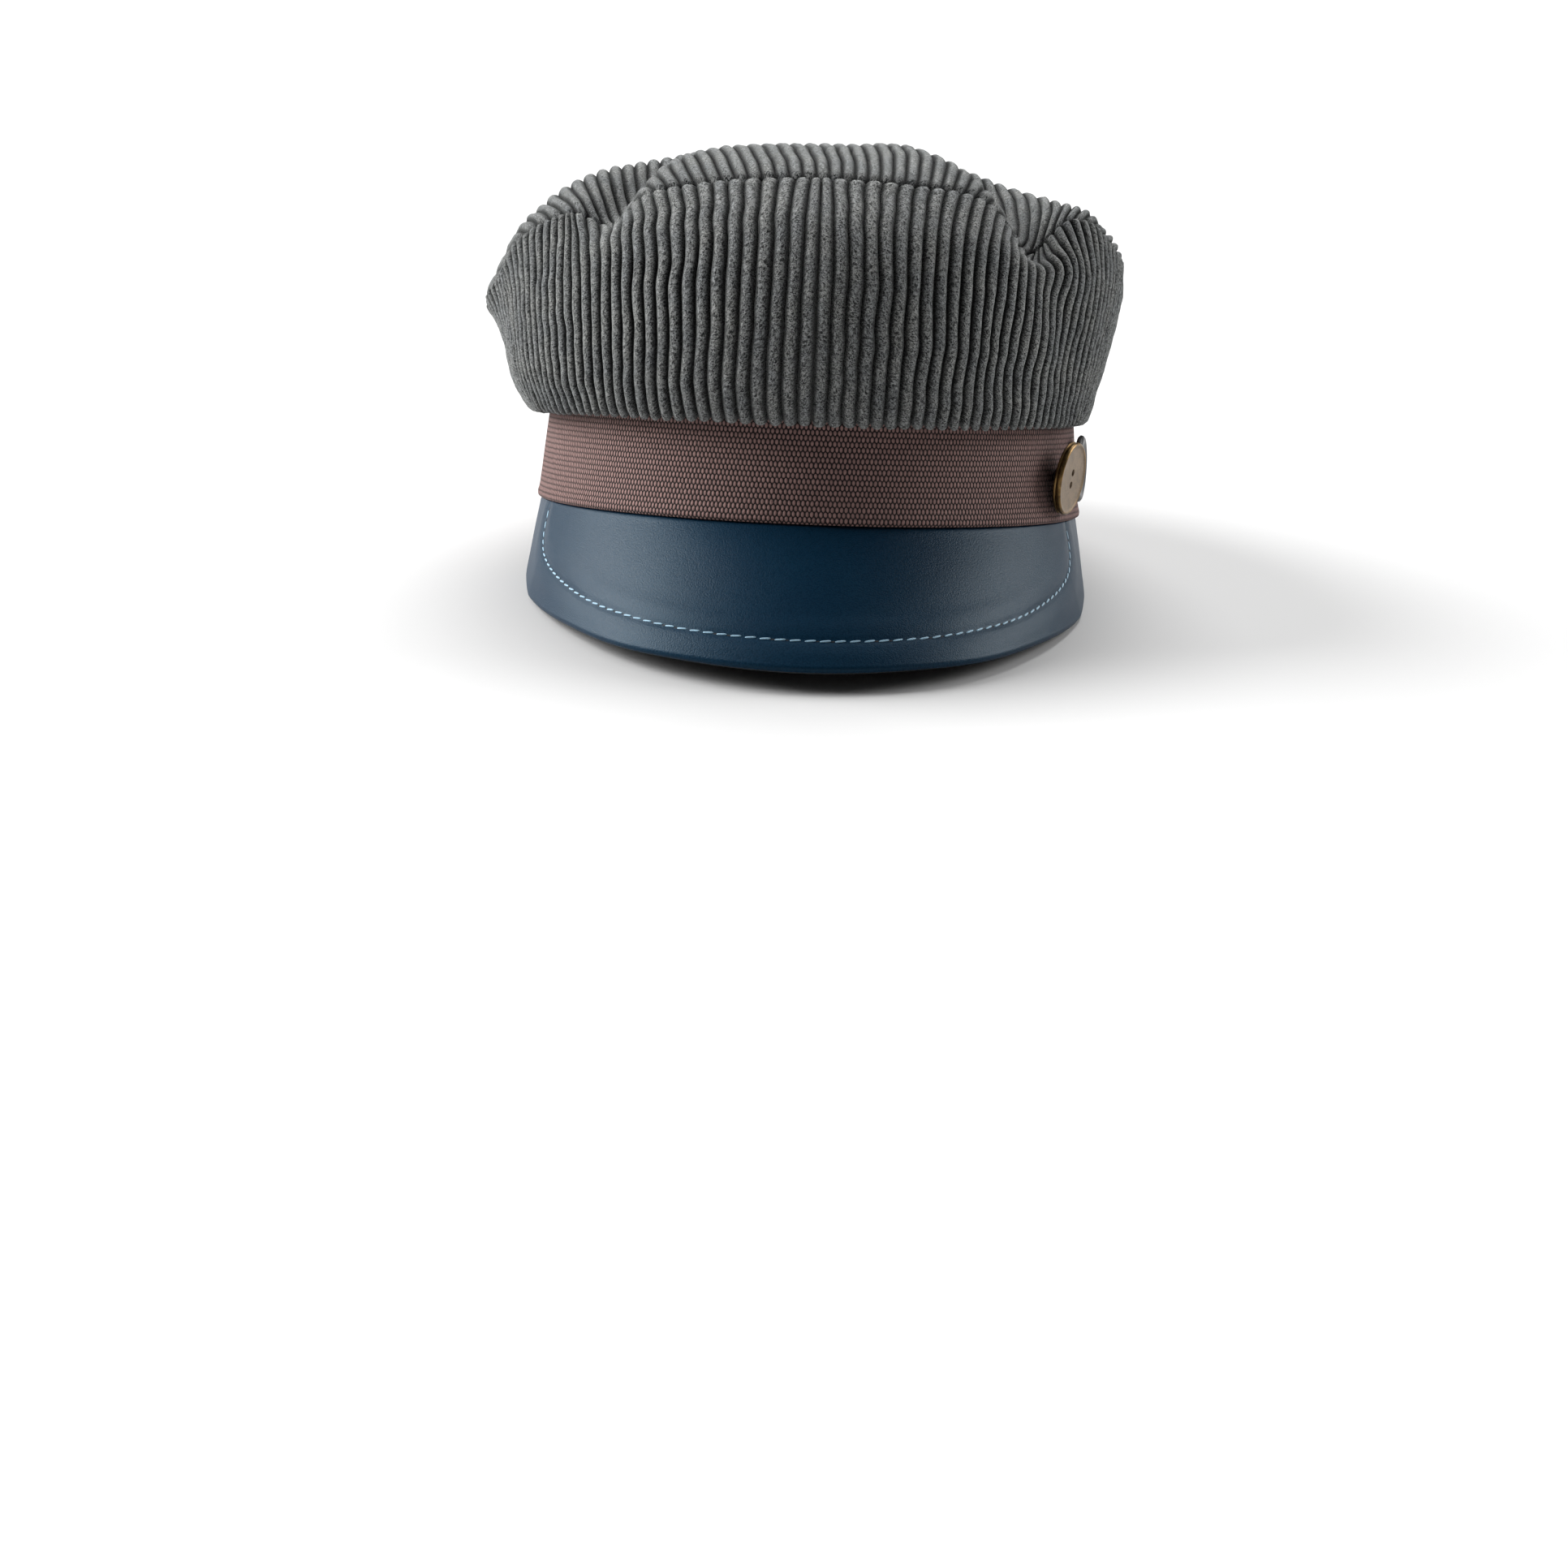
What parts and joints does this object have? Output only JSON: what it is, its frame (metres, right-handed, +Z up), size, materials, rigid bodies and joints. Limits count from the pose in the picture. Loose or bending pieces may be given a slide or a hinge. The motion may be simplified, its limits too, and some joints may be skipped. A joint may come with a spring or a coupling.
{
  "type": "peaked cap",
  "caption": "Full-crowned corduroy cap with a woven band, a stitched leather peak with a dark underlay, and a pair of buttons at the side.",
  "frame": {"origin": "under the middle of the cap's bounding box, on the surface that it rests on", "axes": "+Z up, -Y the way the peak points, +X the wearer's left, where the buttons are"},
  "size_m": [0.1954, 0.2786, 0.1314],
  "materials": {
    "corduroy": "grey wide-rib corduroy, matt, with a soft pile",
    "webbing": "brown ribbed webbing, matt",
    "peak_leather": "dark blue leather, satin, with a fine grain and a light blue seam",
    "underlay_leather": "black lining leather, dull",
    "antique_brass": "antique brass, satin, worn bright at the rim",
    "black_button": "black, polished",
    "button_thread": "waxed black thread, matt"
  },
  "bodies": {
    "root": {"crown_front_left": "corduroy", "crown_back_left": "corduroy", "crown_back_right": "corduroy", "crown_front_right": "corduroy", "crown_top": "corduroy", "band": "webbing", "peak": "peak_leather", "peak_underlay": "underlay_leather", "front_button": "antique_brass", "front_button_stem": "button_thread", "rear_button": "black_button", "rear_button_stem": "button_thread"}
  },
  "joints": []
}
